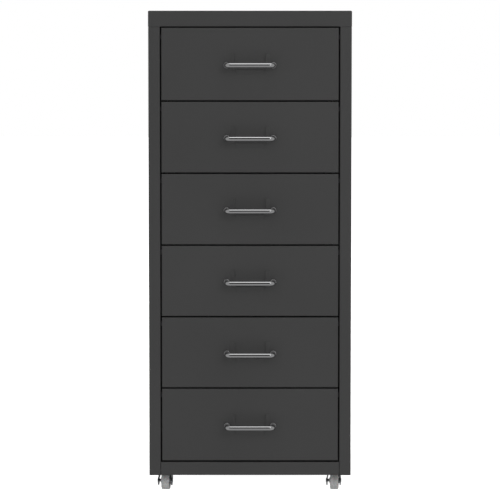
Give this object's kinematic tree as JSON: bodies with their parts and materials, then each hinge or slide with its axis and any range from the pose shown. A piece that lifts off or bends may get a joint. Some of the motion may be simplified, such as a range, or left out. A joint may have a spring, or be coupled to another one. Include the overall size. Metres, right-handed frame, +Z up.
{
  "type": "rolling drawer cabinet",
  "caption": "Slim sheet-metal drawer cabinet on swivel casters, with a stack of sliding drawers, wire pull handles and pressed label-card lips.",
  "frame": {"origin": "on the floor, under the middle of the whole cabinet's box, handles included", "axes": "+Z up, drawer fronts face -Y, drawers slide out along -Y, +X to the right seen from the front"},
  "size_m": [0.28, 0.4376, 0.668],
  "materials": {
    "powder_coat": "fine textured charcoal powder coat, semi-matt",
    "tray_coat": "charcoal powder coat, semi-matt, thinner inside",
    "chrome_wire": "polished chrome plate on drawn wire",
    "galvanised_channel": "rolled zinc-coated strip",
    "zinc_plate": "bright zinc plate on pressed steel",
    "grey_wheel": "light grey moulded plastic"
  },
  "bodies": {
    "casing": {"top_panel": "powder_coat", "right_side_panel": "powder_coat", "back_panel": "powder_coat", "base_panel": "powder_coat", "bottom_front_rail": "powder_coat", "left_side_panel": "powder_coat", "runner_pair_1": "galvanised_channel", "runner_pair_2": "galvanised_channel", "runner_pair_3": "galvanised_channel", "runner_pair_4": "galvanised_channel", "runner_pair_5": "galvanised_channel", "runner_pair_6": "galvanised_channel", "caster_plates": "zinc_plate", "caster_kingpins": "zinc_plate"},
    "drawer_1": {"drawer_front_1": "powder_coat", "drawer_tray_1": "tray_coat", "handle_1": "chrome_wire"},
    "drawer_2": {"drawer_front_2": "powder_coat", "drawer_tray_2": "tray_coat", "handle_2": "chrome_wire"},
    "drawer_3": {"drawer_front_3": "powder_coat", "drawer_tray_3": "tray_coat", "handle_3": "chrome_wire"},
    "drawer_4": {"drawer_front_4": "powder_coat", "drawer_tray_4": "tray_coat", "handle_4": "chrome_wire"},
    "drawer_5": {"drawer_front_5": "powder_coat", "drawer_tray_5": "tray_coat", "handle_5": "chrome_wire"},
    "drawer_6": {"drawer_front_6": "powder_coat", "drawer_tray_6": "tray_coat", "handle_6": "chrome_wire"},
    "caster_swivel_front_left": {"caster_fork_front_left": "zinc_plate", "caster_axle_front_left": "zinc_plate"},
    "caster_roller_front_left": {"caster_wheel_front_left": "grey_wheel"},
    "caster_swivel_front_right": {"caster_fork_front_right": "zinc_plate", "caster_axle_front_right": "zinc_plate"},
    "caster_roller_front_right": {"caster_wheel_front_right": "grey_wheel"},
    "caster_swivel_rear_left": {"caster_fork_rear_left": "zinc_plate", "caster_axle_rear_left": "zinc_plate"},
    "caster_roller_rear_left": {"caster_wheel_rear_left": "grey_wheel"},
    "caster_swivel_rear_right": {"caster_fork_rear_right": "zinc_plate", "caster_axle_rear_right": "zinc_plate"},
    "caster_roller_rear_right": {"caster_wheel_rear_right": "grey_wheel"}
  },
  "joints": [
    {"name": "drawer_1_slide", "type": "slide", "parent": "casing", "child": "drawer_1", "axis": [0, -1, 0], "range_m": [0, 0.3]},
    {"name": "drawer_2_slide", "type": "slide", "parent": "casing", "child": "drawer_2", "axis": [0, -1, 0], "range_m": [0, 0.3]},
    {"name": "drawer_3_slide", "type": "slide", "parent": "casing", "child": "drawer_3", "axis": [0, -1, 0], "range_m": [0, 0.3]},
    {"name": "drawer_4_slide", "type": "slide", "parent": "casing", "child": "drawer_4", "axis": [0, -1, 0], "range_m": [0, 0.3]},
    {"name": "drawer_5_slide", "type": "slide", "parent": "casing", "child": "drawer_5", "axis": [0, -1, 0], "range_m": [0, 0.3]},
    {"name": "drawer_6_slide", "type": "slide", "parent": "casing", "child": "drawer_6", "axis": [0, -1, 0], "range_m": [0, 0.3]},
    {"name": "caster_front_left_swivel", "type": "hinge", "parent": "casing", "child": "caster_swivel_front_left", "pos_m": [-0.118, -0.14525, 0.0312], "axis": [0, 0, 1], "continuous": true},
    {"name": "caster_front_left_roll", "type": "hinge", "parent": "caster_swivel_front_left", "child": "caster_roller_front_left", "pos_m": [-0.11878, -0.15422, 0.0125], "axis": [0.9962, -0.0872, 0], "continuous": true},
    {"name": "caster_front_right_swivel", "type": "hinge", "parent": "casing", "child": "caster_swivel_front_right", "pos_m": [0.118, -0.14525, 0.0312], "axis": [0, 0, 1], "continuous": true},
    {"name": "caster_front_right_roll", "type": "hinge", "parent": "caster_swivel_front_right", "child": "caster_roller_front_right", "pos_m": [0.11722, -0.15422, 0.0125], "axis": [0.9962, -0.0872, 0], "continuous": true},
    {"name": "caster_rear_left_swivel", "type": "hinge", "parent": "casing", "child": "caster_swivel_rear_left", "pos_m": [-0.118, 0.17275, 0.0312], "axis": [0, 0, 1], "continuous": true},
    {"name": "caster_rear_left_roll", "type": "hinge", "parent": "caster_swivel_rear_left", "child": "caster_roller_rear_left", "pos_m": [-0.1191, 0.16382, 0.0125], "axis": [0.9925, -0.1219, 0], "continuous": true},
    {"name": "caster_rear_right_swivel", "type": "hinge", "parent": "casing", "child": "caster_swivel_rear_right", "pos_m": [0.118, 0.17275, 0.0312], "axis": [0, 0, 1], "continuous": true},
    {"name": "caster_rear_right_roll", "type": "hinge", "parent": "caster_swivel_rear_right", "child": "caster_roller_rear_right", "pos_m": [0.11753, 0.16376, 0.0125], "axis": [0.9986, -0.0523, 0], "continuous": true}
  ]
}
